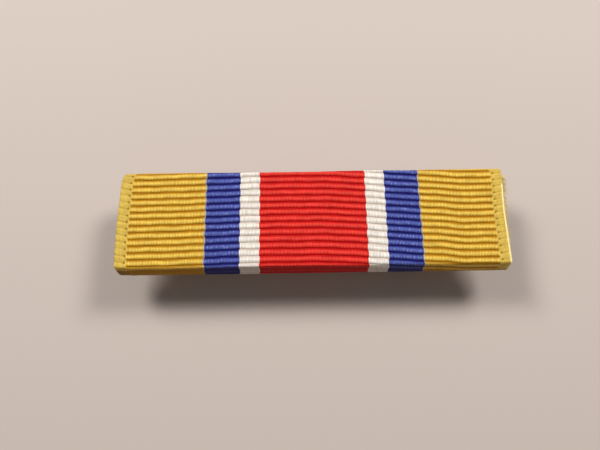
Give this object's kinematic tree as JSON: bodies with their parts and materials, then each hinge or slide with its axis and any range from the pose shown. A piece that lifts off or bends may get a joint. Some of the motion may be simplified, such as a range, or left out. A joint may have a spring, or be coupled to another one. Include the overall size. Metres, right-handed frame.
{
  "type": "service ribbon bar",
  "caption": "Striped woven ribbon wrapped on a slide-on carrier, over a flat mounting bar with a hinged brooch pin and a rotating safety catch.",
  "frame": {"origin": "under the middle of the bar, level with the feet of the hinge's ears and the catch's lips, which it stands on", "axes": "+X along the bar to the viewer's right, +Y across the bar to its far edge, +Z out of the ribbon's face"},
  "size_m": [0.035, 0.0096, 0.0051],
  "materials": {
    "ribbon": "ribbed woven silk-like ribbon, striped gold, blue, white and red",
    "carrier": "thin tinned sheet",
    "mounting_bar": "rolled, satin",
    "solder": "dull soft solder",
    "fitting": "stamped, lightly tarnished",
    "rivet": "plain",
    "pin": "drawn and polished wire",
    "roller": "turned, rubbed bright on the tab"
  },
  "bodies": {
    "pin": {"pin_stem": "pin"},
    "bar": {"mounting_bar": "mounting_bar", "hinge_solder": "solder", "hinge_bracket": "fitting", "hinge_rivet": "rivet", "catch_solder": "solder", "catch_housing": "fitting"},
    "roller": {"catch_roller": "roller"},
    "ribbon_unit": {"ribbon": "ribbon", "ribbon_carrier": "carrier"}
  },
  "joints": [
    {"name": "bar_swing", "type": "hinge", "parent": "pin", "child": "bar", "pos_m": [-0.0144, 0, 0.00164], "axis": [0, -1, 0], "range_deg": [0, 55]},
    {"name": "catch_turn", "type": "hinge", "parent": "bar", "child": "roller", "pos_m": [0.0116, 0, 0.00164], "axis": [1, 0, 0], "range_deg": [0, 90]},
    {"name": "ribbon_slide", "type": "slide", "parent": "bar", "child": "ribbon_unit", "axis": [1, 0, 0], "range_m": [0, 0.036]}
  ]
}
